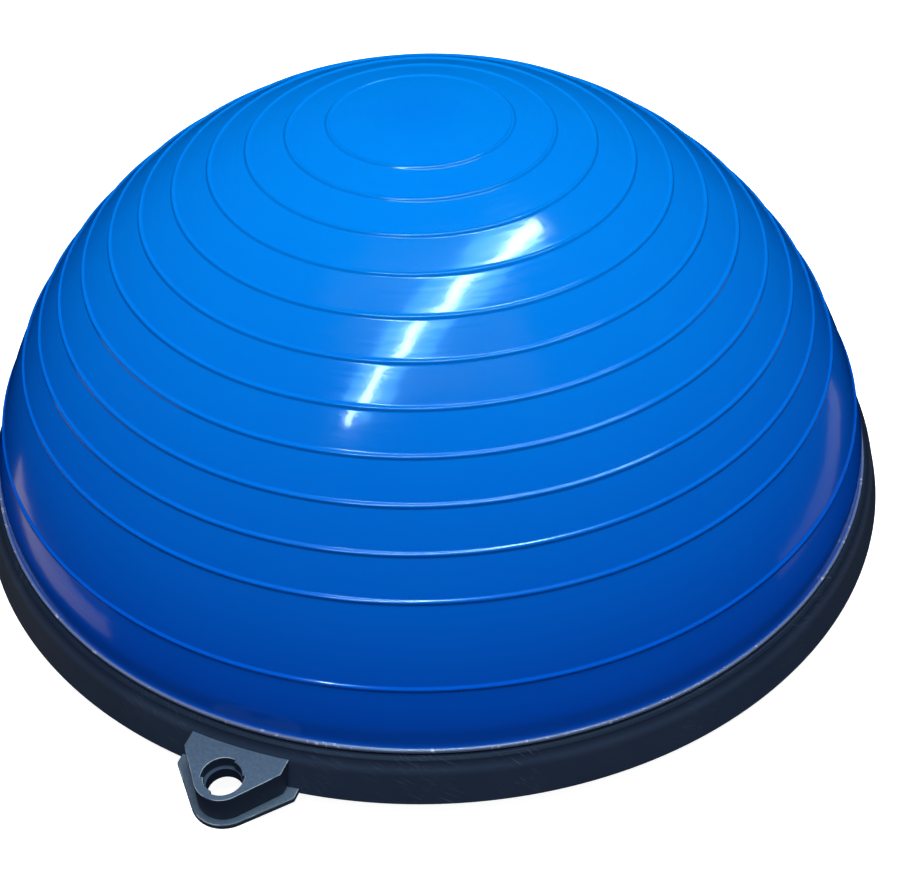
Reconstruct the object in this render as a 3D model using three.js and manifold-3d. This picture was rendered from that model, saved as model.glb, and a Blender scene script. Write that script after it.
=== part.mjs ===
// Balance dome trainer: an air-filled half dome clamped on a rigid round base.
//
// Millimetres, +Z up. The origin is on the floor at the middle of the base, and the two band lugs
// stand out along -Y and +Y.

import * as THREE from "three";
import { mergeVertices } from "three/addons/utils/BufferGeometryUtils.js";
import Module from "manifold-3d";

const wasm = await Module();
wasm.setup();

// ---- Driving dimensions -------------------------------------------------------------------------

const GAP = 0.3; // clearance between pieces that touch
const WALL = 3; // wall of the two base mouldings
const ROUND = 64; // sides of the large round pieces
const MID_ROUND = 24; // sides of the lugs' holes, the hoop rib and the valve's recess
const SMALL_ROUND = 16; // sides of the small round pieces
const SCREW_ROUND = 8; // sides of the screws and their holes
const FACET = 0.2; // room for the flats of a many-sided piece inside another
const MERGE = 1; // how far solids that are joined run into each other
const THROUGH = 60; // upper end of a cutter that goes right through the base

// Base: heights above the floor, and radii from the middle.
const BASE_R = 300; // widest edge of the base
const FOOT_DROP = 4; // the rubber feet stand this far below the pan
const DECK_Z = 14; // underside of the pan's deck, which carries the bladder and the ring
const DECK_TOP = DECK_Z + WALL;
const PLATE_R = 267; // edge of the flat plate in the middle of the pan's underside
const DECK_R = BASE_R - WALL - GAP; // edge of the deck, just inside the ring's outer wall
const RIB_T = 2.5;
const HOOP_R = 150; // middle of the hoop rib under the bladder

// Clamp ring, on the deck. Its outer wall comes down over the deck's edge.
const RING_TOP = 41; // inner top edge
const RING_EDGE_R = 288.6; // outside of the narrow flat at the top
const BROW_R = 290.2; // upper end of the slope below that flat
const SHOULDER_Z = 34; // where the outer wall turns in over the top
const SHOULDER_R = 294.2;
const ROOF_Z = 30; // underside of the ring's roof
const ROOF_R = 292.2;
const BEAD_WALL = 2.4; // wall round the bladder's bead

// Dome: the outer surface is part of an ellipse turned about the Z axis.
const DOME_A = 294.1;
const DOME_B = 281.2;
const DOME_CENTRE_Z = -15.85;
const DOME_WALL = 3.5;
const DOME_FOOT_Z = 58; // below this the wall runs nearly straight down to the lip
const DOME_STEPS = 9; // facets from the crown to there
const COVE_R = 284.6; // narrowest point, just above the lip
const COVE_Z = 47;
const LIP_R = 287.3;
const LIP_Z = 42; // underside of the lip
const LIP_T = 2.4;
const NECK_R = 281.5; // outside of the neck that goes down into the ring
const BEAD_R = 286.9; // outside of the bead that the ring clamps
const BEAD_T = 5.2;

// Band lugs, one on each side.
const HOLE_U = 313.7; // distance of the hole from the middle of the base
const HOLE_R = 9.8; // narrow part of the hole
const HOLE_LOW = 20; // lower end of the narrow part
const HOLLOW_R = 13; // the block's hollow below it
const TAB_HOLE_R = 14.3; // hole in the pan's tab
const KEY_R = 10.5; // top of the hole between the two pockets
const POCKET_R = 12; // pockets that let the band's hook in
const POCKET_DEPTH = 7;
const POCKET_ARC = (2 * Math.PI) / 3;
const POCKET_START = -0.55 * Math.PI; // where one pocket starts, and the other is opposite
const BLOCK_TOP = SHOULDER_Z + 0.3;
const BLOCK_TIP_R = 15.6; // round tip of the block, about the hole
const BLOCK_HALF = 29; // half width of the block at the ring
const BLOCK_ROOT_U = 302.5; // where the block's flanks start to close in
const TAB_TIP_R = 19.4; // round tip of the pan's tab, about the hole
const TAB_HALF = 35.6;
const TAB_ROOT_U = 303.5;
const LUG_INNER_U = 286; // inner end of both, inside the base wall

// Valve in the middle of the underside.
const VALVE_BORE_R = 5.3;
const VALVE_R = 8;
const VALVE_FLANGE_R = 15;
const VALVE_LOW = 9;
const VALVE_TOP = 28;
const VALVE_FLANGE_T = 2;
const PLUG_HEAD_R = 9;
const PLUG_LOW = 5.2;
const PLUG_TOP = 27;
const ACCESS_R = 22; // recess in the underside round the plug

// Screws and feet.
const SCREW_COUNT = 12;
const SCREW_PCD_R = 290.5;
const SHANK_R = 1.9;
const SCREW_HEAD_R = 3.8;
const SCREW_HEAD_T = 3;
const SCREW_TOP = 29;
const RING_BOSS = { from: 289, to: 297, half: 6, top: 31 }; // the ring's block round each screw
const FOOT_COUNT = 8;
const FOOT_R = 17;
const FOOT_PCD_R = 232;
const FOOT_SEAT = 1; // how deep each foot is let into the pan

// Hand grips: finger pockets in the underside, on -X and +X.
const GRIP_HALF = 58;
const GRIP_IN = 232;

// ---- Helpers ------------------------------------------------------------------------------------

// A closed geometry as a solid that can be joined and cut.
function solid(geometry) {
  const bare = geometry.clone();
  bare.deleteAttribute("normal");
  bare.deleteAttribute("uv");
  const merged = mergeVertices(bare, 1e-3);
  return new wasm.Manifold(
    new wasm.Mesh({
      numProp: 3,
      vertProperties: merged.attributes.position.array,
      triVerts: new Uint32Array(merged.index.array),
    }),
  );
}

function geometryOf(body) {
  const { vertProperties, triVerts } = body.getMesh();
  const geometry = new THREE.BufferGeometry();
  geometry.setAttribute("position", new THREE.BufferAttribute(vertProperties, 3));
  geometry.setIndex(new THREE.BufferAttribute(triVerts, 1));
  geometry.computeVertexNormals();
  return geometry;
}

// A profile of [radius, height] points, anticlockwise on the page, turned about the Z axis.
function revolve(profile, sides = ROUND) {
  const points = profile.map(([r, z]) => new THREE.Vector2(r, z));
  return new THREE.LatheGeometry(points, sides).rotateX(Math.PI / 2);
}

// The same for a profile whose last point joins its first.
function revolveRing(profile, sides = ROUND) {
  return revolve([...profile, profile[0]], sides);
}

function rod(radius, low, high, sides = SMALL_ROUND) {
  const height = high - low;
  return new THREE.CylinderGeometry(radius, radius, height, sides)
    .rotateX(Math.PI / 2)
    .translate(0, 0, low + height / 2);
}

function block(xLow, xHigh, yLow, yHigh, zLow, zHigh) {
  return new THREE.BoxGeometry(xHigh - xLow, yHigh - yLow, zHigh - zLow).translate(
    (xLow + xHigh) / 2,
    (yLow + yHigh) / 2,
    (zLow + zHigh) / 2,
  );
}

function prism(shape, low, high) {
  const settings = { depth: high - low, bevelEnabled: false, curveSegments: 6 };
  return new THREE.ExtrudeGeometry(shape, settings).translate(0, 0, low);
}

// Copies of a solid, spread evenly about the Z axis.
function around(body, count, firstAngle = 0) {
  const step = 360 / count;
  return Array.from({ length: count }, (_, i) => body.rotate([0, 0, firstAngle + i * step]));
}

function joined(first, others) {
  return others.reduce((sum, body) => sum.add(body), first);
}

function cutBy(first, others) {
  return others.reduce((rest, body) => rest.subtract(body), first);
}

const FIRST_SCREW = 180 / SCREW_COUNT;
const FIRST_FOOT = 180 / FOOT_COUNT;

// ---- Dome ---------------------------------------------------------------------------------------

// Points down the dome's ellipse, drawn in by inset, from the crown to the foot of the curve.
function domeArc(inset) {
  const a = DOME_A - inset;
  const b = DOME_B - inset;
  const last = Math.asin((DOME_FOOT_Z - DOME_CENTRE_Z) / b);
  return Array.from({ length: DOME_STEPS + 1 }, (_, i) => {
    const angle = Math.PI / 2 + (last - Math.PI / 2) * (i / DOME_STEPS);
    return [i === 0 ? 0 : a * Math.cos(angle), DOME_CENTRE_Z + b * Math.sin(angle)];
  });
}

function domeShell() {
  const outside = domeArc(0);
  const rim = [
    [COVE_R, COVE_Z],
    [LIP_R, LIP_Z + LIP_T],
    [LIP_R, LIP_Z],
    [NECK_R, LIP_Z],
    [NECK_R, DECK_TOP + GAP + BEAD_T],
    [BEAD_R, DECK_TOP + GAP + BEAD_T],
    [BEAD_R, DECK_TOP + GAP],
    [NECK_R - DOME_WALL, DECK_TOP + GAP],
    [NECK_R - DOME_WALL, LIP_Z],
  ];
  const inside = domeArc(DOME_WALL).reverse();
  return revolve([...outside, ...rim, ...inside].reverse());
}

function bladderFloor() {
  const edge = NECK_R - DOME_WALL - GAP;
  const low = DECK_TOP + GAP;
  return revolveRing([
    [VALVE_R + GAP, low],
    [edge, low],
    [edge, low + WALL],
    [VALVE_R + GAP, low + WALL],
  ]);
}

function valveSeat() {
  const flange = DECK_TOP + WALL + 2 * GAP;
  return revolveRing(
    [
      [VALVE_BORE_R, VALVE_LOW],
      [VALVE_R, VALVE_LOW],
      [VALVE_R, flange],
      [VALVE_FLANGE_R, flange],
      [VALVE_FLANGE_R, flange + VALVE_FLANGE_T],
      [VALVE_R, flange + VALVE_FLANGE_T],
      [VALVE_R, VALVE_TOP],
      [VALVE_BORE_R, VALVE_TOP],
    ],
    SMALL_ROUND,
  );
}

// A head to pull on, and a stem with a tapered end that fills the valve's bore.
function airPlug() {
  const stem = VALVE_BORE_R - GAP;
  const [bevel, taper, taperLength] = [1.5, 2, 4];
  return revolve(
    [
      [0, PLUG_LOW],
      [PLUG_HEAD_R - bevel, PLUG_LOW],
      [PLUG_HEAD_R, PLUG_LOW + bevel],
      [PLUG_HEAD_R, VALVE_LOW - GAP],
      [stem, VALVE_LOW - GAP],
      [stem, PLUG_TOP - taperLength],
      [stem - taper, PLUG_TOP],
      [0, PLUG_TOP],
    ],
    SMALL_ROUND,
  );
}

// ---- Lugs ---------------------------------------------------------------------------------------

// The outline of a lug that points along +Y: straight flanks to a tip of tipR about the hole.
// It starts well inside the base wall, which it joins.
function lugOutline(halfWidth, rootU, tipR) {
  const flank = new THREE.Vector2(halfWidth, rootU - HOLE_U);
  const lean = Math.atan2(flank.y, flank.x) + Math.acos(tipR / flank.length());
  const shape = new THREE.Shape();
  shape.moveTo(-halfWidth, LUG_INNER_U);
  shape.lineTo(halfWidth, LUG_INNER_U);
  shape.lineTo(halfWidth, rootU);
  shape.absarc(0, HOLE_U, tipR, lean, Math.PI - lean, false);
  shape.lineTo(-halfWidth, rootU);
  shape.closePath();
  return shape;
}

// A sector of a disc about the hole.
function sector(radius, from, arc) {
  const shape = new THREE.Shape();
  shape.moveTo(0, HOLE_U);
  shape.absarc(0, HOLE_U, radius, from, from + arc, false);
  shape.closePath();
  return shape;
}

// A round cutter about the hole.
function bore(radius, low, high) {
  return solid(rod(radius, low, high, MID_ROUND).translate(0, HOLE_U, 0));
}

// The block's hole: a keyed mouth with a ledge below its two pockets, a narrow part and a hollow.
function lugHole() {
  const ledge = BLOCK_TOP - POCKET_DEPTH;
  const pockets = [POCKET_START, POCKET_START + Math.PI].map((from) =>
    solid(prism(sector(POCKET_R, from, POCKET_ARC), ledge, THROUGH)),
  );
  const mouth = bore(KEY_R, ledge, THROUGH);
  return joined(bore(HOLE_R, 0, THROUGH), [bore(HOLLOW_R, 0, HOLE_LOW), mouth, ...pockets]);
}

function lugBlock() {
  const outline = lugOutline(BLOCK_HALF, BLOCK_ROOT_U, BLOCK_TIP_R);
  return solid(prism(outline, DECK_TOP + GAP, BLOCK_TOP));
}

function lugTab() {
  const outline = lugOutline(TAB_HALF, TAB_ROOT_U, TAB_TIP_R);
  return solid(prism(outline, DECK_Z, DECK_TOP));
}

// The way out for a tab, through the foot of the ring's outer wall.
function tabSlot() {
  const outline = lugOutline(TAB_HALF + GAP, TAB_ROOT_U + GAP, TAB_TIP_R + GAP);
  return solid(prism(outline, 0, DECK_TOP + GAP));
}

// ---- Base ---------------------------------------------------------------------------------------

function screwHole(top) {
  const hole = rod(SHANK_R + GAP, 0, top, SCREW_ROUND);
  return solid(hole.translate(SCREW_PCD_R, 0, 0));
}

// The ring that clamps the bladder's bead: an outer wall, a top that closes on the neck, and an
// inner wall that steps out round the bead. It is open below, and its outer wall is the longer one.
function ringShell(low, beadR) {
  const neckR = NECK_R + GAP + FACET;
  const beadTop = low + BEAD_T + GAP;
  return solid(
    revolveRing([
      [BASE_R, DECK_Z],
      [SHOULDER_R, SHOULDER_Z],
      [BROW_R, RING_TOP - 1],
      [RING_EDGE_R, RING_TOP],
      [neckR, RING_TOP],
      [neckR, beadTop],
      [beadR, beadTop],
      [beadR, low],
      [beadR + BEAD_WALL, low],
      [beadR + BEAD_WALL, ROOF_Z],
      [ROOF_R, ROOF_Z],
      [BASE_R - WALL, low],
      [BASE_R - WALL, DECK_Z],
    ]),
  );
}

// One of the blocks that the screws bite into, kept inside the ring's outer wall.
function ringBoss(low) {
  const { from, to, half, top } = RING_BOSS;
  const envelope = revolve([
    [0, low],
    [BASE_R - MERGE, low],
    [SHOULDER_R - MERGE, SHOULDER_Z],
    [0, SHOULDER_Z],
  ]);
  return solid(block(from, to, -half, half, low, top)).intersect(solid(envelope));
}

function clampRing() {
  const low = DECK_TOP + GAP;
  const beadR = BEAD_R + GAP + FACET;
  const inside = solid(rod(beadR + MERGE, 0, THROUGH, ROUND));
  const built = joined(ringShell(low, beadR), [
    ...around(ringBoss(low), SCREW_COUNT, FIRST_SCREW),
    ...around(lugBlock().subtract(inside), 2),
  ]);
  return geometryOf(
    cutBy(built, [
      ...around(lugHole(), 2),
      ...around(tabSlot(), 2),
      ...around(screwHole(SCREW_TOP + GAP), SCREW_COUNT, FIRST_SCREW),
    ]),
  );
}

// The pan: a flat plate in the middle of the underside, and a raised deck round it. The screws are
// under the deck, which overhangs.
function panShell() {
  return solid(
    revolve([
      [0, FOOT_DROP],
      [PLATE_R, FOOT_DROP],
      [PLATE_R, DECK_Z],
      [DECK_R, DECK_Z],
      [DECK_R, DECK_TOP],
      [PLATE_R - WALL, DECK_TOP],
      [PLATE_R - WALL, FOOT_DROP + WALL],
      [0, FOOT_DROP + WALL],
    ]),
  );
}

// Ribs on top of the plate, which carry the bladder: spokes that end at the deck, and a hoop.
function panRibs() {
  const low = FOOT_DROP + WALL - MERGE;
  const half = RIB_T / 2;
  const spoke = solid(block(ACCESS_R + MERGE, PLATE_R - MERGE, -half, half, low, DECK_TOP));
  const hoop = revolveRing(
    [
      [HOOP_R - half, low],
      [HOOP_R + half, low],
      [HOOP_R + half, DECK_TOP],
      [HOOP_R - half, DECK_TOP],
    ],
    MID_ROUND,
  );
  return [...around(spoke, SCREW_COUNT, FIRST_SCREW), solid(hoop)];
}

// A hand grip's walls on top of the plate, and the pocket inside them.
function grip() {
  const side = GRIP_HALF + WALL;
  return {
    walls: solid(block(GRIP_IN - WALL, PLATE_R, -side, side, FOOT_DROP + MERGE, DECK_TOP)),
    pocket: solid(block(GRIP_IN, PLATE_R + WALL + MERGE, -GRIP_HALF, GRIP_HALF, 0, DECK_Z)),
  };
}

// The recess round the air plug, with a roof that the valve comes down through.
function valveRecess() {
  const recess = solid(rod(ACCESS_R, 0, DECK_Z, MID_ROUND));
  return {
    walls: solid(rod(ACCESS_R + WALL, FOOT_DROP + MERGE, DECK_TOP, MID_ROUND)),
    inside: recess.add(solid(rod(VALVE_R + GAP, 0, THROUGH))),
  };
}

function basePan() {
  const { walls, pocket } = grip();
  const recess = valveRecess();
  const footSeat = rod(FOOT_R + GAP, 0, FOOT_DROP + FOOT_SEAT).translate(FOOT_PCD_R, 0, 0);
  const built = joined(panShell(), [
    ...panRibs(),
    ...around(walls, 2),
    recess.walls,
    ...around(lugTab(), 2),
  ]);
  return geometryOf(
    cutBy(built, [
      ...around(pocket, 2),
      recess.inside,
      ...around(screwHole(THROUGH), SCREW_COUNT, FIRST_SCREW),
      ...around(solid(footSeat), FOOT_COUNT, FIRST_FOOT),
      ...around(bore(TAB_HOLE_R, 0, THROUGH), 2),
    ]),
  );
}

// ---- Small pieces -------------------------------------------------------------------------------

function screw() {
  const headTop = DECK_Z - GAP;
  const [bevel, point] = [0.8, 3];
  return revolve(
    [
      [0, headTop - SCREW_HEAD_T],
      [SCREW_HEAD_R - bevel, headTop - SCREW_HEAD_T],
      [SCREW_HEAD_R, headTop - SCREW_HEAD_T / 2],
      [SCREW_HEAD_R, headTop],
      [SHANK_R, headTop],
      [SHANK_R, SCREW_TOP - point],
      [0, SCREW_TOP],
    ],
    SCREW_ROUND,
  );
}

function foot() {
  const top = FOOT_DROP + FOOT_SEAT - GAP;
  const bevel = 1.5;
  return revolve(
    [
      [0, 0],
      [FOOT_R - bevel, 0],
      [FOOT_R, bevel],
      [FOOT_R, top],
      [0, top],
    ],
    SMALL_ROUND,
  );
}

// ---- Assembly -----------------------------------------------------------------------------------

function plain(color, roughness, metalness = 0) {
  return new THREE.MeshStandardMaterial({ color, roughness, metalness });
}

const domeBlue = plain(0x0f62dc, 0.25);
const bladderBlue = plain(0x0d52b8, 0.4);
const ringNavy = plain(0x1c2636, 0.6);
const panBlack = plain(0x232c3a, 0.65);
const rubber = plain(0x15161a, 0.85);
const steel = plain(0x9a9da2, 0.35, 1);
const plugBlack = plain(0x1a1c20, 0.5);

const trainer = new THREE.Group();

function add(name, geometry, material, parent = trainer) {
  const mesh = new THREE.Mesh(geometry, material.clone());
  mesh.name = name;
  parent.add(mesh);
  return mesh;
}

// Numbered copies of a small piece on a circle about the middle of the base.
function addCircle(name, geometry, material, count, radius, firstAngle) {
  for (let i = 0; i < count; i += 1) {
    const angle = THREE.MathUtils.degToRad(firstAngle + (i * 360) / count);
    const copy = add(`${name}_${i + 1}`, geometry, material);
    copy.position.set(radius * Math.cos(angle), radius * Math.sin(angle), 0);
    copy.rotation.z = angle;
  }
}

add("dome_shell", domeShell(), domeBlue);
add("bladder_floor", bladderFloor(), bladderBlue);
add("valve_seat", valveSeat(), bladderBlue);
add("air_plug", airPlug(), plugBlack);
add("clamp_ring", clampRing(), ringNavy);
add("base_pan", basePan(), panBlack);
addCircle("foot", foot(), rubber, FOOT_COUNT, FOOT_PCD_R, FIRST_FOOT);
addCircle("screw", screw(), steel, SCREW_COUNT, SCREW_PCD_R, FIRST_SCREW);

export default trainer;
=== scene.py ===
import math

import bmesh
import bpy
import numpy as np
from mathutils import Matrix, Vector


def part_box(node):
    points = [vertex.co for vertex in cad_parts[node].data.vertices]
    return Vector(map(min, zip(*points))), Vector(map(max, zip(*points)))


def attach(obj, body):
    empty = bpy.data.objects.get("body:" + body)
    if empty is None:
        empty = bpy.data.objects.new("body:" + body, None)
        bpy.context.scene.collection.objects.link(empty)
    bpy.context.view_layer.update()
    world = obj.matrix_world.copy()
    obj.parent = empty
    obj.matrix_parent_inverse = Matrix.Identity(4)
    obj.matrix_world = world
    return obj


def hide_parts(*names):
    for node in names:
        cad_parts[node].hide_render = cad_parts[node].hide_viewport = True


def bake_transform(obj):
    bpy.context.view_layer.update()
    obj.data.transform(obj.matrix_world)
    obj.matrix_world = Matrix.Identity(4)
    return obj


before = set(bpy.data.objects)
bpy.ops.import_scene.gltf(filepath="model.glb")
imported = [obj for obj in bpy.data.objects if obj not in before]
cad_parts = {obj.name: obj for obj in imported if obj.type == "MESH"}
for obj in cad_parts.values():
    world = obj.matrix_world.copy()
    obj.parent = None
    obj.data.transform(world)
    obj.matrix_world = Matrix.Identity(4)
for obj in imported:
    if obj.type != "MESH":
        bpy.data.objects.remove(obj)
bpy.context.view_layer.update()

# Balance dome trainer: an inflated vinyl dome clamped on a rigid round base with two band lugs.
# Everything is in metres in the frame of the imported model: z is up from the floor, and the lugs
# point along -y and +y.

MM = 0.001

# ---- Places and sizes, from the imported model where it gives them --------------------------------

ROUND = 256  # sides of the large round pieces
SMALL_ROUND = 48

dome_low, dome_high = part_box("dome_shell")
ring_low, ring_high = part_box("clamp_ring")
pan_low, pan_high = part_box("base_pan")
floor_low, floor_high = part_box("bladder_floor")
seat_low, seat_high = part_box("valve_seat")
plug_low, plug_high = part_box("air_plug")
foot_low, foot_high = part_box("foot_1")
screw_low, screw_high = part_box("screw_1")

CROWN_Z = dome_high.z
LIP_R = dome_high.x

# The dome's outer surface is part of an ellipse turned about the z axis.
DOME_A = 294.1 * MM
DOME_B = 281.2 * MM
DOME_CENTRE_Z = CROWN_Z - DOME_B
DOME_WALL = 3.5 * MM
CURVE_FOOT_Z = 60 * MM  # the cove above the lip starts here
LIP_TOP_Z = 44.4 * MM
LIP_Z = 42 * MM
COVE_R = 284.2 * MM
NECK_R = 281.5 * MM
BEAD_R = 286.9 * MM
BEAD_T = 5.2 * MM

# Raised rings on the dome: eleven evenly spaced down the curve from the crown, and one near the foot.
RIB_COUNT = 11
FIRST_RIB = 54.4 * MM
RIB_STEP = 24.93 * MM
LAST_RIB = 352.3 * MM
RIB_WIDTH = 3.8 * MM
RIB_HEIGHT = 0.95 * MM
BAND_SAG = 0.1 * MM  # how much flatter than the ellipse the skin is between two ribs
RIB_MARGIN = 1.3  # a rib's points reach this many half widths from its middle
LIP_ROUND = 1.2 * MM  # how far in from its edge the lip's flat top starts

# Base: the ring's wall leans in from the pan's edge, and turns in over its top.
GAP = 0.3 * MM  # clearance between pieces that touch
BASE_R = ring_high.x
SHOULDER = (294.2 * MM, 34 * MM)
BROW = (290.2 * MM, 40 * MM)
ROOF = (292.2 * MM, 30 * MM)
DECK_Z = ring_low.z
RING_SEAT_Z = pan_high.z + GAP  # the ring's inner parts stand on the deck
PLATE_R = 267 * MM
WALL = 3 * MM
BEAD_ROOM = 0.5 * MM  # clearance about the dome's neck and bead inside the ring
BEAD_WALL = 2.4 * MM
RING_EDGE_R = 288.6 * MM  # outside of the narrow flat at the top
RIB_HALF = 1.25 * MM
HOOP_R = 150 * MM

# Band lugs. u is the distance from the middle of the base.
HOLE_U = 313.7 * MM
HOLE_R = 9.8 * MM
HOLE_LOW = 20 * MM
HOLLOW_R = 13 * MM
TAB_HOLE_R = 14.3 * MM
KEY_R = 10.5 * MM
POCKET_R = 12 * MM
POCKET_DEPTH = 7 * MM
POCKET_START = -99  # degrees
POCKET_ARC = 120
BLOCK_TOP = 34.3 * MM
LUG_INNER_U = 286 * MM
BLOCK_SHAPE = (29 * MM, 302.5 * MM, 15.6 * MM, 2.2 * MM)  # half width, root, tip radius, corner radius
TAB_SHAPE = (35.6 * MM, 303.5 * MM, 19.4 * MM, 2.5 * MM)

# Underside.
GRIP_HALF = 58 * MM
GRIP_IN = 232 * MM
ACCESS_R = 22 * MM
VALVE_R = 8 * MM
VALVE_BORE_R = 5.3 * MM
FOOT_COUNT = 8
SCREW_COUNT = 12
FOOT_PCD_R = 232 * MM
SCREW_PCD_R = 290.5 * MM
FOOT_TURN = 22.5  # degrees from +x to the first foot
SCREW_TURN = 15
THREAD_PITCH = 1.4 * MM
THREAD_TURNS = 12


# ---- Outlines -----------------------------------------------------------------------------------


def rounded(corners, steps=5):
    """An open line through (x, y, radius) corners, with an arc of that radius at each corner that has one."""
    line = []
    for i, (x, y, radius) in enumerate(corners):
        at = np.array((x, y), float)
        if not radius or i in (0, len(corners) - 1):
            line.append(tuple(at))
            continue
        before = np.array(corners[i - 1][:2], float) - at
        after = np.array(corners[i + 1][:2], float) - at
        before, after = before / np.linalg.norm(before), after / np.linalg.norm(after)
        half = math.acos(np.clip(before @ after, -1, 1)) / 2
        middle = at + (before + after) / np.linalg.norm(before + after) * radius / math.sin(half)
        first = at + before * radius / math.tan(half) - middle
        last = at + after * radius / math.tan(half) - middle
        turn = math.atan2(first[0] * last[1] - first[1] * last[0], first @ last)
        for k in range(steps + 1):
            c, s = math.cos(turn * k / steps), math.sin(turn * k / steps)
            line.append((middle[0] + c * first[0] - s * first[1], middle[1] + s * first[0] + c * first[1]))
    return line


def rounded_loop(corners, steps=5):
    """The same for a closed outline. The outline starts halfway along its last side."""
    (x0, y0, _), (x1, y1, _) = corners[-1], corners[0]
    start = ((x0 + x1) / 2, (y0 + y1) / 2, 0)
    return rounded([start, *corners, start], steps)[:-1]


def arc(centre, radius, start, end, steps):
    """Points on an arc, from the start angle to the end angle in degrees."""
    angles = [math.radians(start + (end - start) * k / steps) for k in range(steps + 1)]
    return [(centre[0] + radius * math.cos(a), centre[1] + radius * math.sin(a)) for a in angles]


def offset(outline, distance):
    """An anticlockwise outline moved outwards by a distance."""
    points = np.array(outline, float)
    along = np.roll(points, -1, 0) - points
    normals = np.stack([along[:, 1], -along[:, 0]], 1)
    normals /= np.linalg.norm(normals, axis=1)[:, None]
    both = normals + np.roll(normals, 1, 0)
    both /= np.maximum((both * normals).sum(1), 0.5)[:, None]
    return [tuple(p) for p in points + distance * both]


# ---- Meshes -------------------------------------------------------------------------------------


def new_object(name, verts, faces):
    mesh = bpy.data.meshes.new(name)
    mesh.from_pydata(verts, [], faces)
    made = bpy.data.objects.new(name, mesh)
    bpy.context.scene.collection.objects.link(made)
    shape = bmesh.new()
    shape.from_mesh(mesh)
    bmesh.ops.recalc_face_normals(shape, faces=shape.faces)
    shape.to_mesh(mesh)
    shape.free()
    return made


def lathe(name, profile, sides, closed=False):
    """A profile of (radius, height) points turned about the z axis, which is closed or ends on that axis."""
    verts, rings, faces = [], [], []
    for r, z in profile:
        count = sides if r > 1e-7 else 1
        rings.append(range(len(verts), len(verts) + count))
        angles = [2 * math.pi * k / count for k in range(count)]
        verts += [(r * math.cos(a), r * math.sin(a), z) for a in angles]
    pairs = list(zip(rings, rings[1:] + rings[:1]))
    for upper, lower in pairs if closed else pairs[:-1]:
        for k in range(sides):
            face = [upper[k % len(upper)], upper[(k + 1) % len(upper)]]
            face += [lower[(k + 1) % len(lower)], lower[k % len(lower)]]
            face = list(dict.fromkeys(face))
            if len(face) > 2:
                faces.append(face)
    return new_object(name, verts, faces)


def stack(name, loops):
    """A closed solid through (outline, height) loops with the same number of points, capped at both ends."""
    count = len(loops[0][0])
    verts = [(x, y, z) for outline, z in loops for x, y in outline]
    faces = [list(range(count)), list(range(len(verts) - count, len(verts)))]
    for base in range(0, len(verts) - count, count):
        for k in range(count):
            following = (k + 1) % count
            faces.append([base + k, base + following, base + count + following, base + count + k])
    return new_object(name, verts, faces)


def slab(name, outline, low, high, edge, steps=3):
    """An extruded outline whose top edge is rounded."""
    turns = [math.pi / 2 * k / steps for k in range(steps + 1)]
    loops = [(outline, low)]
    loops += [(offset(outline, edge * (math.cos(t) - 1)), high + edge * (math.sin(t) - 1)) for t in turns]
    return stack(name, loops)


def turned(made, degrees, about=(0, 0, 0)):
    spin = Matrix.Rotation(math.radians(degrees), 4, "Z")
    made.data.transform(Matrix.Translation(about) @ spin @ Matrix.Translation(-Vector(about)))
    return made


def copies(made, count, first=0.0):
    """The object and its copies, spread evenly about the z axis."""
    step = 360 / count
    others = []
    for k in range(1, count):
        other = made.copy()
        other.data = made.data.copy()
        bpy.context.scene.collection.objects.link(other)
        others.append(turned(other, first + k * step))
    return [turned(made, first), *others]


def joined(parts):
    """One object that holds the meshes of several."""
    shape = bmesh.new()
    for part in parts:
        shape.from_mesh(part.data)
    shape.to_mesh(parts[0].data)
    shape.free()
    for part in parts[1:]:
        bpy.data.objects.remove(part)
    return parts[0]


def combine(made, others, operation):
    """Joins others to a mesh, or cuts them from it, and removes them."""
    tool = joined(others)
    modifier = made.modifiers.new("combine", "BOOLEAN")
    modifier.object, modifier.operation, modifier.solver = tool, operation, "EXACT"
    ready = made.evaluated_get(bpy.context.evaluated_depsgraph_get())
    mesh = bpy.data.meshes.new_from_object(ready)
    made.modifiers.clear()
    made.data = mesh
    bpy.data.objects.remove(tool)
    return made


def smooth(made, sharpest=32):
    """Smooth shading that breaks at edges sharper than an angle in degrees."""
    mesh = made.data
    mesh.polygons.foreach_set("use_smooth", [True] * len(mesh.polygons))
    mesh.set_sharp_from_angle(angle=math.radians(sharpest))
    return made


def even_normals(made):
    modifier = made.modifiers.new("normals", "WEIGHTED_NORMAL")
    modifier.keep_sharp = True
    return made


# ---- Dome ---------------------------------------------------------------------------------------


class DomeCurve:
    """The dome's ellipse by the distance along it from the crown."""

    def __init__(self):
        self.angles = np.linspace(math.pi / 2, 0, 4001)
        points = np.stack([DOME_A * np.cos(self.angles), DOME_B * np.sin(self.angles)], 1)
        steps = np.linalg.norm(np.diff(points, axis=0), axis=1)
        self.distances = np.concatenate([[0], np.cumsum(steps)])

    def angle(self, distance):
        return float(np.interp(distance, self.distances, self.angles))

    def point(self, distance, lift=0.0):
        """The (radius, height) point at a distance, lifted off the surface."""
        a = self.angle(distance)
        across = np.array((DOME_B * math.cos(a), DOME_A * math.sin(a)))
        across /= np.linalg.norm(across)
        on = np.array((DOME_A * math.cos(a), DOME_CENTRE_Z + DOME_B * math.sin(a)))
        return tuple(on + lift * across)

    def distance_at(self, height):
        angle = math.asin((height - DOME_CENTRE_Z) / DOME_B)
        return float(np.interp(-angle, -self.angles, self.distances))


def rib_lift(share):
    """Height of a rib at a share of its half width from its middle: a round back that runs out softly."""
    return RIB_HEIGHT * max(0.0, 1 - share * share) ** 2


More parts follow.
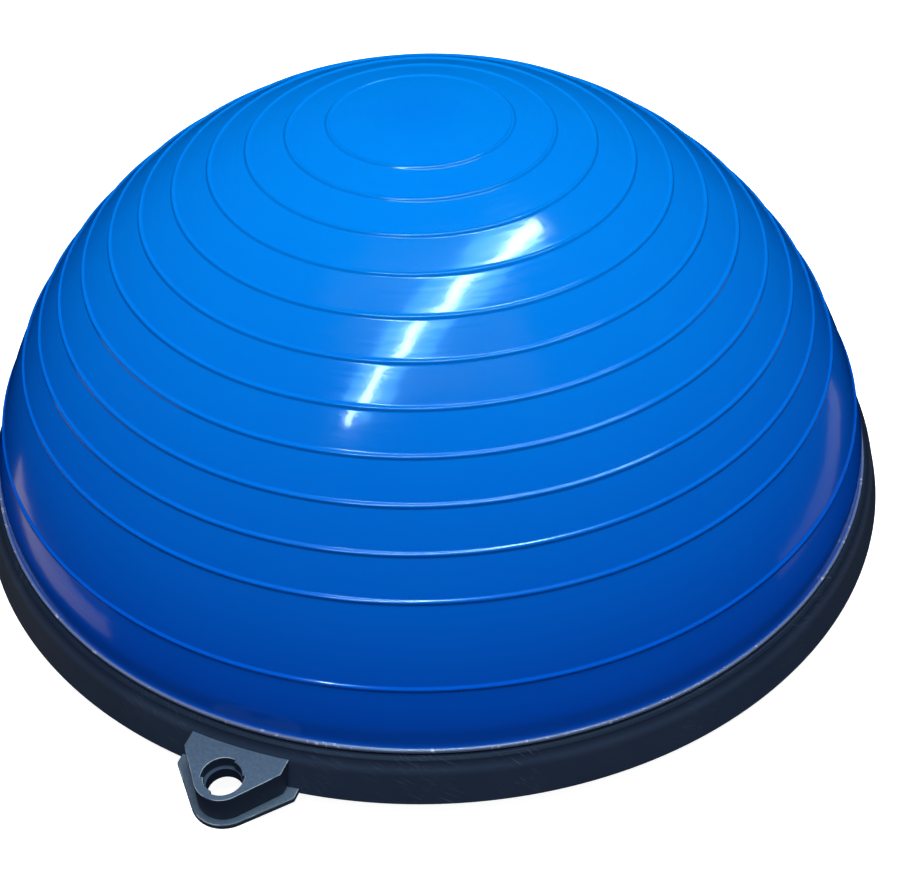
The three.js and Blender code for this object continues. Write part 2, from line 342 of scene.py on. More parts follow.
def dome_outside(curve):
    """Points from the crown to where the cove starts, close together on the ribs."""
    end = curve.distance_at(CURVE_FOOT_Z)
    middles = [FIRST_RIB + k * RIB_STEP for k in range(RIB_COUNT)] + [LAST_RIB]
    shares = [-RIB_MARGIN, *np.linspace(-1, 1, 15), RIB_MARGIN]
    points = [(0.0, CROWN_Z)]
    reached = 0.0
    for middle in middles:
        near = middle + shares[0] * RIB_WIDTH / 2
        count = max(2, round((near - reached) / (4 * MM)))
        sag = BAND_SAG if reached else 0.0
        for t in np.linspace(-1, 1, count + 1)[1:-1]:
            points.append(curve.point(reached + (near - reached) * (1 + t) / 2, -sag * (1 - t * t)))
        points += [curve.point(middle + s * RIB_WIDTH / 2, rib_lift(s)) for s in shares]
        reached = middle + shares[-1] * RIB_WIDTH / 2
    return points + [curve.point(d) for d in np.linspace(reached, end, 5)[1:]]


def cove(start, slope, end, steps=9):
    """A hollow curve from the foot of the dome out to the top of the lip."""
    start, end = np.array(start), np.array(end)
    turn = np.array((COVE_R, end[1] + 0.6 * MM))
    first = start + slope * 0.45 * (start[1] - end[1])
    points = []
    for k in range(1, steps + 1):
        t = k / steps
        weights = ((1 - t) ** 3, 3 * t * (1 - t) ** 2, 3 * t * t * (1 - t), t**3)
        points.append(tuple(weights[0] * start + weights[1] * first + weights[2] * turn + weights[3] * end))
    return points


def build_dome():
    curve = DomeCurve()
    outside = dome_outside(curve)
    down = np.array(outside[-1]) - np.array(outside[-2])
    slope = down / np.linalg.norm(down)
    bead_top = dome_low.z + BEAD_T
    lip = rounded(
        [
            (LIP_R - LIP_ROUND, LIP_TOP_Z, 0),
            (LIP_R, LIP_TOP_Z, 0.7 * MM),
            (LIP_R, LIP_Z, 0.7 * MM),
            (NECK_R, LIP_Z, 0.5 * MM),
            (NECK_R, bead_top, 0.5 * MM),
            (BEAD_R, bead_top, 0.8 * MM),
            (BEAD_R, dome_low.z, 0.8 * MM),
            (NECK_R - DOME_WALL, dome_low.z, 0),
        ],
        4,
    )
    inner_end = curve.distance_at(CURVE_FOOT_Z)
    inside = [curve.point(d, -DOME_WALL) for d in np.linspace(inner_end, 0, 40)]
    inside[-1] = (0.0, CROWN_Z - DOME_WALL)
    profile = outside + cove(outside[-1], slope, lip[0]) + lip[1:] + inside
    return smooth(lathe("dome", profile, ROUND), 50)


# ---- Band lugs ----------------------------------------------------------------------------------


def lug_outline(half, root_u, tip_r, corner):
    """A lug along +y: short straight sides, rounded corners, and flanks that close on a round tip."""
    flank = Vector((half, root_u - HOLE_U))
    lean = math.degrees(math.atan2(flank.y, flank.x) + math.acos(tip_r / flank.length))
    tip = arc((0, HOLE_U), tip_r, lean, 180 - lean, 24)
    right = rounded([(half, LUG_INNER_U, 0), (half, root_u, corner), (*tip[0], 0)], 4)
    left = [(-x, y) for x, y in reversed(right)]
    return right + tip[1:-1] + left


def key_outline(radius_out, radius_in):
    """The hole's mouth: two 120 degree pockets and two narrower sectors between them."""
    outline = []
    for start in (POCKET_START, POCKET_START + 180):
        outline += arc((0, HOLE_U), radius_out, start, start + POCKET_ARC, 20)
        outline += arc((0, HOLE_U), radius_in, start + POCKET_ARC + 0.5, start + 179.5, 10)
    return outline


def bore(radius, low, high):
    """A round cutter about the hole."""
    circle = arc((0, HOLE_U), radius, 0, 360, 64)[:-1]
    return stack("bore", [(circle, low), (circle, high)])


def lug_hole(low, high):
    """Cutters: the keyed mouth with a small chamfer, the narrow part from its ledge, and the hollow below."""
    mouth = key_outline(POCKET_R, KEY_R)
    chamfer = 0.35 * MM
    wide = offset(mouth, chamfer)
    ledge = high - POCKET_DEPTH
    upper = stack("mouth", [(mouth, ledge), (mouth, high - chamfer), (wide, high), (wide, high + MM)])
    return upper, bore(HOLE_R, HOLE_LOW - MM, ledge + MM), bore(HOLLOW_R, low - MM, HOLE_LOW)


def lug_block():
    outline = lug_outline(*BLOCK_SHAPE)
    block = slab("block", outline, RING_SEAT_Z, BLOCK_TOP, 0.5 * MM)
    for cutter in lug_hole(RING_SEAT_Z, BLOCK_TOP):
        combine(block, [cutter], "DIFFERENCE")
    return block


def tab_outline():
    return lug_outline(*TAB_SHAPE)


def lug_tab():
    tab = slab("tab", tab_outline(), DECK_Z, pan_high.z, 0.9 * MM, 4)
    return combine(tab, [bore(TAB_HOLE_R, DECK_Z - MM, pan_high.z + MM)], "DIFFERENCE")


def tab_slot():
    """The way out for a tab, through the foot of the ring's outer wall."""
    outline = offset(tab_outline(), GAP)
    return stack("slot", [(outline, 0), (outline, RING_SEAT_Z)])


# ---- Base ---------------------------------------------------------------------------------------


def ring_profile():
    neck = NECK_R + BEAD_ROOM
    bead = BEAD_R + BEAD_ROOM
    bead_top = RING_SEAT_Z + BEAD_T + GAP
    bead_wall = bead + BEAD_WALL
    inner_r = BASE_R - WALL
    return rounded_loop(
        [
            (BASE_R, ring_low.z, 0.5 * MM),
            (*SHOULDER, 14 * MM),
            (*BROW, 1.0 * MM),
            (RING_EDGE_R, ring_high.z, 0.8 * MM),
            (neck, ring_high.z, 0.6 * MM),
            (neck, bead_top, 0.3 * MM),
            (bead, bead_top, 0.3 * MM),
            (bead, RING_SEAT_Z, 0.3 * MM),
            (bead_wall, RING_SEAT_Z, 0.3 * MM),
            (bead_wall, ROOF[1], 0.8 * MM),
            (*ROOF, 0.8 * MM),
            (inner_r, RING_SEAT_Z, 0),
            (inner_r, ring_low.z, 0.3 * MM),
        ],
        4,
    )


def build_ring():
    ring = lathe("ring", ring_profile(), ROUND, closed=True)
    inner = lathe("inner", [(0, 0), (BEAD_R + 1.5 * MM, 0), (BEAD_R + 1.5 * MM, 0.1), (0, 0.1)], ROUND)
    block = combine(lug_block(), [inner], "DIFFERENCE")
    combine(ring, copies(block, 2), "UNION")
    combine(ring, copies(tab_slot(), 2), "DIFFERENCE")
    return even_normals(smooth(ring))


def pan_profile():
    return rounded(
        [
            (0, pan_low.z, 0),
            (PLATE_R, pan_low.z, 1.2 * MM),
            (PLATE_R, DECK_Z, 1.5 * MM),
            (pan_high.x, DECK_Z, 0.4 * MM),
            (pan_high.x, pan_high.z, 0.6 * MM),
            (PLATE_R - WALL, pan_high.z, 0.5 * MM),
            (PLATE_R - WALL, pan_low.z + WALL, 0.8 * MM),
            (0, pan_low.z + WALL, 0),
        ],
        4,
    )


def box_between(name, low, high):
    outline = [(low[0], low[1]), (high[0], low[1]), (high[0], high[1]), (low[0], high[1])]
    return stack(name, [(outline, low[2]), (outline, high[2])])


def rod(name, radius, low, high, centre_x=0.0, sides=SMALL_ROUND):
    circle = arc((centre_x, 0), radius, 0, 360, sides)[:-1]
    return stack(name, [(circle, low), (circle, high)])


def grip_walls():
    side = GRIP_HALF + WALL
    outline = rounded_loop(
        [
            (PLATE_R - MM, side, 0),
            (GRIP_IN - WALL, side, 9 * MM),
            (GRIP_IN - WALL, -side, 9 * MM),
            (PLATE_R - MM, -side, 0),
        ]
    )
    return stack("grip", [(outline, pan_low.z + MM), (outline, pan_high.z)])


def grip_pocket():
    """A finger pocket with rounded inner corners, open at the edge of the plate."""
    outer = PLATE_R + 4 * MM
    outline = rounded_loop(
        [
            (outer, GRIP_HALF, 0),
            (GRIP_IN, GRIP_HALF, 6 * MM),
            (GRIP_IN, -GRIP_HALF, 6 * MM),
            (outer, -GRIP_HALF, 0),
        ]
    )
    outline.reverse()
    edge = 1.2 * MM
    wide = offset(outline, edge)
    low = pan_low.z
    return stack("pocket", [(wide, low - MM), (wide, low), (outline, low + edge), (outline, DECK_Z)])


def pan_ribs():
    """Ribs on top of the plate, which carry the bladder: spokes that end at the deck, and a hoop."""
    half, low = RIB_HALF, pan_low.z + WALL - MM
    spoke = box_between("spoke", (ACCESS_R + MM, -half, low), (PLATE_R - MM, half, pan_high.z))
    inner, outer = HOOP_R - half, HOOP_R + half
    corners = [(inner, low), (outer, low), (outer, pan_high.z), (inner, pan_high.z)]
    hoop = lathe("hoop", corners, 96, closed=True)
    return [joined(copies(spoke, SCREW_COUNT, SCREW_TURN)), hoop]


def build_pan():
    pan = lathe("pan", pan_profile(), ROUND)
    for rib in pan_ribs():
        combine(pan, [rib], "UNION")
    combine(pan, copies(grip_walls(), 2), "UNION")
    combine(pan, [rod("well", ACCESS_R + WALL, pan_low.z + MM, pan_high.z)], "UNION")
    combine(pan, copies(lug_tab(), 2), "UNION")
    combine(pan, copies(grip_pocket(), 2), "DIFFERENCE")
    seat_r = (foot_high.x - foot_low.x) / 2 + 0.3 * MM
    seat = rod("seat", seat_r, 0, foot_high.z + 0.3 * MM, FOOT_PCD_R)
    shank = rod("shank", 2.2 * MM, 0, 0.05, SCREW_PCD_R, 24)
    recess = rod("recess", ACCESS_R, 0, DECK_Z)
    cutters = copies(seat, FOOT_COUNT, FOOT_TURN) + copies(shank, SCREW_COUNT, SCREW_TURN)
    combine(pan, cutters + [recess], "DIFFERENCE")
    combine(pan, [rod("bore", VALVE_R + 0.3 * MM, 0, 0.05)], "DIFFERENCE")
    return even_normals(smooth(pan))


# ---- Bladder floor, valve and plug --------------------------------------------------------------


def build_bladder_floor():
    low, high, edge = floor_low.z, floor_high.z, floor_high.x
    hole = VALVE_R + 0.3 * MM
    weld = 6 * MM
    corners = [
        (hole, low, 0.4 * MM),
        (edge, low, 0.6 * MM),
        (edge, high, 0.6 * MM),
        (edge - weld, high, 0.4 * MM),
        (edge - weld - MM, high - 0.6 * MM, 0.4 * MM),
        (hole + weld + MM, high - 0.6 * MM, 0.4 * MM),
        (hole + weld, high, 0.4 * MM),
        (hole, high, 0.4 * MM),
    ]
    return smooth(lathe("bladder_base", rounded_loop(corners, 3), 128, closed=True))


def build_valve():
    low, top, flange = seat_low.z, seat_high.z, floor_high.z + 0.3 * MM
    flange_r = seat_high.x
    corners = [
        (VALVE_BORE_R, low, 0.5 * MM),
        (VALVE_R, low, 0.8 * MM),
        (VALVE_R, flange, 0.3 * MM),
        (flange_r, flange, 0.6 * MM),
        (flange_r, flange + 2 * MM, 0.8 * MM),
        (VALVE_R, flange + 2 * MM, 1.2 * MM),
        (VALVE_R, top, 0.6 * MM),
        (VALVE_BORE_R, top, 0.5 * MM),
    ]
    return smooth(lathe("valve_collar", rounded_loop(corners, 3), 64, closed=True))


def build_plug():
    """A dished head with a bar across it to pull on, and a stem with two sealing rings."""
    head_r, stem_r = plug_high.x, VALVE_BORE_R - 0.3 * MM
    low, top = plug_low.z, plug_high.z
    head_top = seat_low.z - 0.3 * MM
    waist = stem_r - 0.5 * MM
    corners = [
        (0, low + 1.6 * MM, 0),
        (head_r - 2.4 * MM, low + 1.6 * MM, 0.5 * MM),
        (head_r - 1.8 * MM, low, 0.4 * MM),
        (head_r, low, 1.1 * MM),
        (head_r, head_top, 0.5 * MM),
        (stem_r, head_top, 0.3 * MM),
    ]
    for groove in (head_top + 4 * MM, head_top + 8.5 * MM):
        corners += [(stem_r, groove - MM, 0.3 * MM), (waist, groove, 0.4 * MM)]
        corners += [(waist, groove + MM, 0.4 * MM), (stem_r, groove + 1.6 * MM, 0.3 * MM)]
    corners += [(stem_r, top - 4 * MM, 0.5 * MM), (stem_r - 2 * MM, top, 0.6 * MM), (0, top, 0)]
    plug = lathe("plug", rounded(corners, 3), 64)
    reach, half = head_r - 2 * MM, 1.3 * MM
    bar = box_between("bar", (-reach, -half, low + 0.3 * MM), (reach, half, low + 2.2 * MM))
    combine(plug, [bar], "UNION")
    return smooth(plug)


# ---- Feet and screws ----------------------------------------------------------------------------


def build_feet():
    """Round rubber pads with grooves in the tread."""
    radius, top = (foot_high.x - foot_low.x) / 2, foot_high.z
    corners = [(0, 0, 0)]
    for groove in range(3):
        r = (4 + 4 * groove) * MM
        corners += [(r, 0, 0.2 * MM), (r + 0.3 * MM, 0.7 * MM, 0.2 * MM)]
        corners += [(r + 1.0 * MM, 0.7 * MM, 0.2 * MM), (r + 1.3 * MM, 0, 0.2 * MM)]
    corners += [(radius, 0, 1.3 * MM), (radius, top, 0.4 * MM), (0, top, 0)]
    foot = smooth(lathe("rubber_foot_1", rounded(corners, 3), SMALL_ROUND))
    foot.data.transform(Matrix.Translation((FOOT_PCD_R, 0, 0)))
    return named(copies(foot, FOOT_COUNT, FOOT_TURN), "rubber_foot")


def build_screws():
    """Pan head screws with a cross recess, heads down, and a thread of close ridges."""
    low, top, head_r, shank_r, root_r = screw_low.z, screw_high.z, 3.8 * MM, 1.9 * MM, 1.5 * MM
    head_top = low + 3 * MM
    corners = [
        (0, low, 0),
        (head_r - 1.6 * MM, low + 0.15 * MM, 3 * MM),
        (head_r, low + 1.4 * MM, 0.5 * MM),
        (head_r, head_top, 0.25 * MM),
        (root_r, head_top, 0),
    ]
    for k in range(THREAD_TURNS):
        z = head_top + (k + 1) * THREAD_PITCH
        crest, end = z + 0.35 * THREAD_PITCH, z + 0.7 * THREAD_PITCH
        corners += [(root_r, z, 0), (shank_r, crest, 0), (root_r, end, 0)]
    corners += [(root_r, top - 1.8 * MM, 0), (0, top, 0)]
    screw = lathe("cross_screw_1", rounded(corners, 4), 32)
    half, reach, deep = 0.45 * MM, 2.0 * MM, 1.7 * MM
    arms = [(reach, half), (half, reach)]
    for x, y in arms:
        combine(screw, [box_between("arm", (-x, -y, low - MM), (x, y, low + deep))], "DIFFERENCE")
    screw.data.transform(Matrix.Translation((SCREW_PCD_R, 0, 0)))
    return named(copies(smooth(screw), SCREW_COUNT, SCREW_TURN), "cross_screw")


def named(made, name):
    for k, each in enumerate(made):
        each.name = f"{name}_{k + 1}"
    return made


# ---- Materials ----------------------------------------------------------------------------------


class Paint:
    """A material built node by node. An input given as a socket is linked, and any other value is set.

    An input is named by its label with underscores, or by an underscore and its number.
    """

    def __init__(self, name):
        self.material = bpy.data.materials.new(name)
        self.material.use_nodes = True
        self.tree = self.material.node_tree
        self.surface = self.tree.nodes["Principled BSDF"]
        self.place = self.add("ShaderNodeTexCoord").outputs["Object"]

    def put(self, node, **inputs):
        for name, value in inputs.items():
            socket = node.inputs[int(name[1:])] if name[1:].isdigit() else node.inputs[name.replace("_", " ")]
            if isinstance(value, bpy.types.NodeSocket):
                self.tree.links.new(value, socket)
            else:
                socket.default_value = value
        return node

    def add(self, kind, settings=None, **inputs):
        node = self.tree.nodes.new(kind)
        for name, value in (settings or {}).items():
            setattr(node, name, value)
        return self.put(node, **inputs)

    def noise(self, scale, detail=3.0, stretch=(1, 1, 1), plane=None):
        """A noise pattern with values about 0.5. The scale counts its patches along a metre."""
        mapped = self.add("ShaderNodeMapping", Vector=plane or self.place, Scale=stretch).outputs[0]
        return self.add("ShaderNodeTexNoise", Vector=mapped, Scale=scale, Detail=detail).outputs["Fac"]

    def math(self, operation, a, b=0.0):
        return self.add("ShaderNodeMath", {"operation": operation}, _0=a, _1=b).outputs[0]

    def span(self, value, low, high, to_low, to_high):
        """A value's range from low to high, mapped to another range and held inside it."""
        made = self.add(
            "ShaderNodeMapRange", Value=value, From_Min=low, From_Max=high, To_Min=to_low, To_Max=to_high
        )
        return made.outputs[0]

    def mix(self, share, first, second):
        made = self.add("ShaderNodeMix", {"data_type": "RGBA"}, _0=share, _6=first, _7=second)
        return made.outputs[2]

    def height(self):
        return self.add("ShaderNodeSeparateXYZ", Vector=self.place).outputs["Z"]

    def around(self):
        """Distance round the base, and height less the distance from the z axis, as a plane for marks."""
        axes = self.add("ShaderNodeSeparateXYZ", Vector=self.place)
        angle = self.math("ARCTAN2", axes.outputs["Y"], axes.outputs["X"])
        run = self.math("MULTIPLY", angle, BASE_R)
        rise = self.math("SUBTRACT", axes.outputs["Z"], self.radius())
        return self.add("ShaderNodeCombineXYZ", X=run, Y=rise).outputs[0]

    def facing_up(self):
        """Height of the surface's normal, 1 where it faces straight up."""
        normal = self.add("ShaderNodeNewGeometry").outputs["True Normal"]
        return self.add("ShaderNodeSeparateXYZ", Vector=normal).outputs["Z"]

    def radius(self):
        """Distance from the z axis."""
        axes = self.add("ShaderNodeSeparateXYZ", Vector=self.place)
        flat = self.add("ShaderNodeCombineXYZ", X=axes.outputs["X"], Y=axes.outputs["Y"]).outputs[0]
        return self.add("ShaderNodeVectorMath", {"operation": "LENGTH"}, _0=flat).outputs["Value"]

    def scratches(self, length, width, turn, rare, plane=None):
        """Short straight strokes, 1 on a stroke and 0 elsewhere, in scattered groups."""
        source = plane or self.place
        mapped = self.add(
            "ShaderNodeMapping",
            {"vector_type": "TEXTURE"},
            Vector=source,
            Scale=(length, width, length),
            Rotation=(0, 0, turn),
        ).outputs[0]
        strokes = self.add("ShaderNodeTexNoise", Vector=mapped, Scale=1.0, Detail=0.0).outputs["Fac"]
        group = self.span(self.noise(0.3 / length, 2.0), 0.5, 0.62, 0.0, 1.0)
        return self.math("MULTIPLY", self.span(strokes, rare, rare + 0.06, 0.0, 1.0), group)

    def bump(self, height, distance, strength=1.0, under=None):
        settings = {"Height": height, "Distance": distance, "Strength": strength}
        if under is not None:
            settings["Normal"] = under
        return self.add("ShaderNodeBump", None, **settings).outputs[0]


LIP_EDGE_R = (0.2855, 0.2861)  # the lip's edge, where a reflection is painted, starts between these radii
LIP_EDGE_Z = (0.0452, 0.0446)  # and below these heights
LUG_TOP_Z = (0.0348, 0.0354)  # the lugs' flat faces end between these heights
BROW_SHADE_Z = (0.0355, 0.0395)  # the ring's brow under the lip, painted darker as shade under the lip


def dome_vinyl():
    """Glossy blue vinyl with soft mottling and fine rubbing marks; painted darker towards the foot as shade
    from the light above, painted lighter just above the lip for the light it catches there, and with a
    painted reflection and white nicks along the lip's edge.
    """
    p = Paint("dome_vinyl")
    height, radius = p.height(), p.radius()
    # Painted shade: the blue darkens towards the foot, standing in for the light from above falling off down
    # the dome's sides.
    painted_shade_by_height = p.span(height, 0.05, 0.25, 0.0, 1.0)
    blue = p.mix(painted_shade_by_height, (0.0, 0.060, 0.48, 1), (0.0, 0.175, 0.63, 1))
    cloudy = p.span(p.noise(7, 4.0), 0.3, 0.7, 0.0, 0.14)
    blue = p.mix(cloudy, blue, (0.0, 0.08, 0.5, 1))
    # Painted light: just above the lip the blue is painted lighter and greener, for the light the dome's foot
    # catches there.
    foot = p.span(height, 0.046, 0.062, 0.55, 0.0)
    blue = p.mix(foot, blue, (0.004, 0.095, 0.56, 1))
    apex = p.span(radius, 0.010, 0.034, 0.22, 0.0)
    blue = p.mix(apex, blue, (0.0, 0.11, 0.55, 1))
    rubbed = p.scratches(0.03, 0.0006, 0.4, 0.68)
    dust = p.span(p.noise(900, 1.0), 0.72, 0.78, 0.0, 0.05)
    blue = p.mix(dust, blue, (0.10, 0.32, 0.75, 1))
    # Painted reflection: the lip's edge is painted grey-lilac for the sky's reflection on its narrow bead,
    # with white nicks scattered along it.
    edge = p.math("MULTIPLY", p.span(radius, *LIP_EDGE_R, 0.0, 1.0), p.span(height, *LIP_EDGE_Z, 0.0, 1.0))
    lip_reflection_and_nicks = p.mix(p.span(p.noise(260, 3.0), 0.62, 0.70, 0.0, 0.6), (0.11, 0.15, 0.27, 1), (0.6, 0.62, 0.72, 1))
    blue = p.mix(edge, blue, lip_reflection_and_nicks)
    sheen = p.span(p.noise(24, 5.0), 0.3, 0.7, 0.11, 0.16)
    rough = p.math("ADD", sheen, p.math("MULTIPLY", rubbed, 0.06))
    streaks = p.noise(1, 3.0, (16, 420, 1), p.around())
    wobble = p.bump(p.noise(11, 1.0), 0.0009)
    ripple = p.bump(p.noise(45, 2.0), 0.00012, under=wobble)
    skin = p.bump(p.noise(700, 2.0), 0.000012, under=ripple)
    p.put(
        p.surface,
        Base_Color=blue,
        Roughness=rough,
        Normal=skin,
        Specular_IOR_Level=p.span(streaks, 0.40, 0.60, 0.05, 0.24),
        Coat_Weight=p.span(streaks, 0.40, 0.60, 0.40, 0.22),
        Coat_Roughness=p.span(rubbed, 0.0, 1.0, 0.07, 0.12),
        Coat_Normal=ripple,
    )
    return p.material


def scaled(colour, factor):
    """A colour made lighter or darker."""
    return tuple(factor * c for c in colour[:3]) + (1,)


def moulded(name, shade, light, lug_top_light, rough):
    """Matte moulded plastic with a mottled grain, a cloudy sheen and short scratches. The lugs' upward faces
    are painted lighter as painted light from overhead, their rounded top edges carry a painted highlight, and
    the brow under the lip is painted darker as painted shade.
    """
    p = Paint(name)
    plane, up, height = p.around(), p.facing_up(), p.height()
    cloudy = p.span(p.noise(14, 4.0), 0.3, 0.7, 0.0, 1.0)
    colour = p.mix(cloudy, shade, light)
    grain = p.noise(2600, 2.0)
    colour = p.mix(p.span(grain, 0.35, 0.65, 0.0, 0.16), colour, scaled(light, 1.7))
    # Painted light: the lugs' upward faces, on the tabs and blocks and a little on the hole's ledge, are
    # painted lighter and mottled for the overhead light they catch.
    ledge = p.span(height, 0.031, 0.033, 0.08, 1.0)
    top_light_heights = p.math("MAXIMUM", p.span(height, 0.018, 0.020, 1.0, 0.0), ledge)
    lug = p.math("MULTIPLY", top_light_heights, p.span(height, *LUG_TOP_Z, 1.0, 0.0))
    painted_top_light = scaled(lug_top_light, 1.65)
    colour = p.mix(p.math("MULTIPLY", p.span(up, 0.9, 0.99, 0.0, 1.0), lug), colour, painted_top_light)
    mottle = p.span(p.noise(520, 2.0), 0.42, 0.60, 0.0, 0.5)
    mottle = p.math("MULTIPLY", mottle, p.span(up, 0.9, 0.99, 0.0, 1.0))
    colour = p.mix(p.math("MULTIPLY", mottle, lug), colour, scaled(lug_top_light, 2.4))
    # Painted highlight: the rounded edges of the lugs' tops are painted light grey-blue, broken up by noise,
    # for the light they catch.
    edge = p.math("MULTIPLY", p.span(up, 0.56, 0.66, 0.0, 1.0), p.span(up, 0.975, 0.95, 0.0, 1.0))
    edge = p.math("MULTIPLY", edge, p.span(p.noise(70, 2.0), 0.44, 0.56, 0.12, 1.0))
    colour = p.mix(p.math("MULTIPLY", edge, lug), colour, (0.28, 0.36, 0.43, 1))
    # Painted shade: the upward-facing brow under the lip is painted darker, and given less specular, for the
    # shadow the lip casts on it.
    brow = p.math("MULTIPLY", p.span(height, *BROW_SHADE_Z, 0.0, 1.0), p.span(up, 0.3, 0.5, 0.0, 1.0))
    colour = p.mix(brow, colour, scaled(shade, 0.6))
    cuts = p.math(
        "MAXIMUM",
        p.scratches(0.012, 0.0007, -0.9, 0.70, plane),
        p.scratches(0.016, 0.0006, -0.55, 0.71, plane),
    )
    colour = p.mix(p.math("MULTIPLY", cuts, 0.25), colour, (0.14, 0.17, 0.20, 1))
    sheen = p.span(p.noise(30, 5.0), 0.3, 0.7, rough - 0.05, rough + 0.07)
    fine = p.bump(grain, 0.00006, 0.7)
    normal = p.bump(cuts, 0.00004, under=fine)
    shine = p.span(brow, 0.0, 1.0, 0.45, 0.10)
    p.put(p.surface, Base_Color=colour, Roughness=sheen, Normal=normal, Specular_IOR_Level=shine)
    return p.material


def floor_vinyl():
    """Satin blue vinyl sheet with a fine emboss."""
    p = Paint("floor_vinyl")
    colour = p.mix(p.span(p.noise(20, 4.0), 0.3, 0.7, 0.0, 1.0), (0.0, 0.085, 0.42, 1), (0.0, 0.12, 0.52, 1))
    emboss = p.bump(p.noise(1500, 2.0), 0.00008)
    sheen = p.span(p.noise(60, 3.0), 0.3, 0.7, 0.38, 0.5)
    p.put(p.surface, Base_Color=colour, Roughness=sheen, Normal=emboss)
    return p.material


def foot_rubber():
    """Dark rubber with dust and scuffs on the tread."""
    p = Paint("foot_rubber")
    dust = p.span(p.noise(90, 5.0), 0.45, 0.75, 0.0, 0.45)
    colour = p.mix(dust, (0.012, 0.012, 0.014, 1), (0.075, 0.072, 0.068, 1))
    grain = p.bump(p.noise(1900, 3.0), 0.0001)
    sheen = p.span(p.noise(140, 3.0), 0.3, 0.7, 0.7, 0.9)
    p.put(p.surface, Base_Color=colour, Roughness=sheen, Normal=grain, Specular_IOR_Level=0.35)
    return p.material


def plug_plastic():
    """Satin black plastic with fine handling marks."""
    p = Paint("plug_plastic")
    marks = p.scratches(0.004, 0.0002, 0.4, 0.62)
    cloudy = p.span(p.noise(120, 3.0), 0.3, 0.7, 0.0, 1.0)
    colour = p.mix(cloudy, (0.014, 0.015, 0.018, 1), (0.028, 0.030, 0.034, 1))
    colour = p.mix(p.math("MULTIPLY", marks, 0.3), colour, (0.2, 0.2, 0.21, 1))
    sheen = p.span(p.noise(200, 3.0), 0.3, 0.7, 0.36, 0.5)
    p.put(p.surface, Base_Color=colour, Roughness=sheen, Normal=p.bump(p.noise(3000, 2.0), 0.00004))
    return p.material


def screw_steel():
    """Zinc plated steel, a little dull, with tool marks."""
    p = Paint("screw_steel")
    colour = p.mix(p.span(p.noise(500, 4.0), 0.3, 0.7, 0.0, 1.0), (0.46, 0.47, 0.5, 1), (0.66, 0.66, 0.64, 1))
    sheen = p.span(p.noise(900, 3.0), 0.3, 0.7, 0.28, 0.48)
    marks = p.bump(p.scratches(0.002, 0.0001, 0.7, 0.6), 0.00003)
    p.put(p.surface, Base_Color=colour, Roughness=sheen, Metallic=1.0, Normal=marks)
    return p.material


def floor_paper():
    p = Paint("floor_paper")
    tone = p.mix(p.span(p.noise(1.5, 3.0), 0.3, 0.7, 0.0, 1.0), (0.93, 0.93, 0.93, 1), (0.95, 0.95, 0.95, 1))
    p.put(
        p.surface,
        Base_Color=tone,
        Roughness=0.9,
        Specular_IOR_Level=0.1,
        Emission_Color=(1, 1, 1, 1),
        Emission_Strength=0.92,
    )
    return p.material


def backdrop_white():
    p = Paint("backdrop_white")
    p.put(p.surface, Base_Color=(0, 0, 0, 1), Roughness=1.0)
    p.put(p.surface, Emission_Color=(1, 1, 1, 1), Emission_Strength=0.95)
    return p.material


# ---- The object ---------------------------------------------------------------------------------


def dress(made, material, slot, body, *nodes):
    """Gives a piece its material, lets it ride on a body and stand for CAD nodes. The slot argument is not
    used.
    """
    made.data.materials.clear()
    made.data.materials.append(material)
    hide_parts(*nodes)
    if body:
        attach(made, body)
    return made


dome = dress(build_dome(), dome_vinyl(), "dome_vinyl", None, "dome_shell")
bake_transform(dome)

RING_SHADE = (0.013, 0.0235, 0.052, 1)
RING_LIGHT = (0.017, 0.0295, 0.062, 1)
# The lugs' upward faces are painted lighter from this tone, as painted light.
RING_LUG_TOP_LIGHT = (0.023, 0.035, 0.060, 1)
PAN_SHADE = (0.020, 0.030, 0.050, 1)
PAN_LIGHT = (0.026, 0.038, 0.060, 1)
ring_plastic = moulded("ring_plastic", RING_SHADE, RING_LIGHT, RING_LUG_TOP_LIGHT, 0.5)
pan_plastic = moulded("pan_plastic", PAN_SHADE, PAN_LIGHT, PAN_LIGHT, 0.54)
vinyl = floor_vinyl()
rubber = foot_rubber()
steel = screw_steel()

dress(build_ring(), ring_plastic, "ring_plastic", "base", "clamp_ring")
dress(build_pan(), pan_plastic, "pan_plastic", "base", "base_pan")
dress(build_bladder_floor(), vinyl, "floor_vinyl", "base", "bladder_floor")
dress(build_valve(), vinyl, "floor_vinyl", "base", "valve_seat")
dress(build_plug(), plug_plastic(), "plug_plastic", "plug", "air_plug")
for number, foot in enumerate(build_feet(), 1):
    dress(foot, rubber, "foot_rubber", "base", f"foot_{number}")
for number, screw in enumerate(build_screws(), 1):
    dress(screw, steel, "screw_steel", "base", f"screw_{number}")


# ---- Stage, lights and camera -------------------------------------------------------------------


STAGE_REACH = 12.0
STRIP_PLACE = (0.148, -0.24)  # x and y of the two overhead strips
STRIP_TURN = 71.3  # degrees


def build_stage():
    reach = STAGE_REACH
    circle = arc((0, 0), reach, 0, 360, 128)[:-1]
    ground = new_object("ground", [(x, y, 0) for x, y in circle], [list(range(len(circle)))])
    ground.data.materials.append(floor_paper())
    steps = [math.radians(d) for d in range(-10, 91, 5)]
    profile = [(reach * math.cos(a), reach * math.sin(a)) for a in steps[:-1]] + [(0, reach)]
    sky = lathe("backdrop", profile, 96)
    sky.data.materials.append(backdrop_white())
    sky.visible_diffuse = sky.visible_glossy = sky.visible_shadow = False
    ground.visible_glossy = ground.visible_diffuse = ground.visible_shadow = False


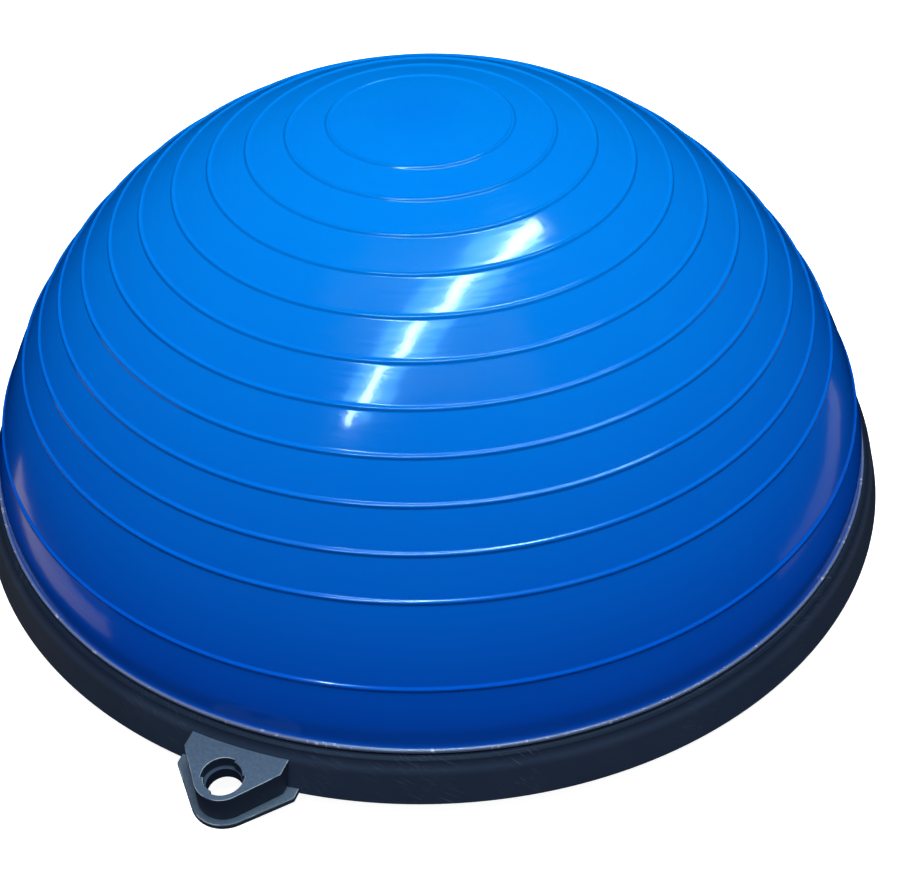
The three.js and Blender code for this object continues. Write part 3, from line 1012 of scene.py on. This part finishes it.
def area_light(name, at, towards, size, power, colour=(1, 1, 1), turn=0.0):
    """An area light at a place, facing a point. Its long side is turned about the line between them."""
    data = bpy.data.lights.new(name, "AREA")
    data.shape = "RECTANGLE"
    data.size, data.size_y = size
    data.energy = power
    data.color = colour
    made = bpy.data.objects.new(name, data)
    bpy.context.scene.collection.objects.link(made)
    aim = (Vector(towards) - Vector(at)).to_track_quat("-Z", "Y").to_matrix().to_4x4()
    made.matrix_world = Matrix.Translation(at) @ aim @ Matrix.Rotation(math.radians(turn), 4, "Z")
    return made


def build_lights():
    """A strip overhead with a fainter, wider one behind it, two low cards, and a broad light for shading."""
    x, y = STRIP_PLACE
    strip = area_light("strip", (x, y, 2.26), (x, y, 0), (2.93, 0.08), 62, (0.58, 0.87, 1.0), STRIP_TURN)
    haze = area_light("haze", (x, y, 2.32), (x, y, 0), (2.76, 0.44), 46, (0.18, 0.72, 1.0), STRIP_TURN)
    card = (1.9, 0.24)
    left = area_light("left_card", (-2.37, -0.62, -1.0), (-0.12, -0.25, 0.07), card, 1.2, (0.95, 0.75, 0.5))
    right = area_light("right_card", (2.1, 1.4, -0.72), (0.26, -0.05, 0.09), card, 0.5, (1.0, 0.85, 0.75))
    for light in (strip, haze, left, right):
        light.visible_diffuse = False
    soft = area_light("soft", (0.2, -0.3, 3.2), (0, 0, 0), (2.2, 2.2), 140)
    soft.visible_glossy = False
    world = bpy.data.worlds.new("surroundings")
    world.use_nodes = True
    background = world.node_tree.nodes["Background"]
    background.inputs["Color"].default_value = (0.86, 0.9, 1.0, 1)
    background.inputs["Strength"].default_value = 0.24
    world.cycles_visibility.glossy = False
    bpy.context.scene.world = world


def build_camera():
    data = bpy.data.cameras.new("camera")
    data.lens, data.sensor_width, data.sensor_fit = 58.28, 36.0, "HORIZONTAL"
    camera = bpy.data.objects.new("camera", data)
    bpy.context.scene.collection.objects.link(camera)
    facing = Matrix.Rotation(math.radians(22.1), 4, "Z") @ Matrix.Rotation(math.radians(48.53), 4, "X")
    framing = Matrix.Rotation(math.radians(-0.716), 4, "Y") @ Matrix.Rotation(math.radians(-2.028), 4, "Z")
    camera.matrix_world = Matrix.Translation((0.2858, -0.7039, 0.6802)) @ facing @ framing
    bpy.context.scene.camera = camera


build_stage()
build_lights()
build_camera()
bpy.context.scene.view_settings.view_transform = "Standard"
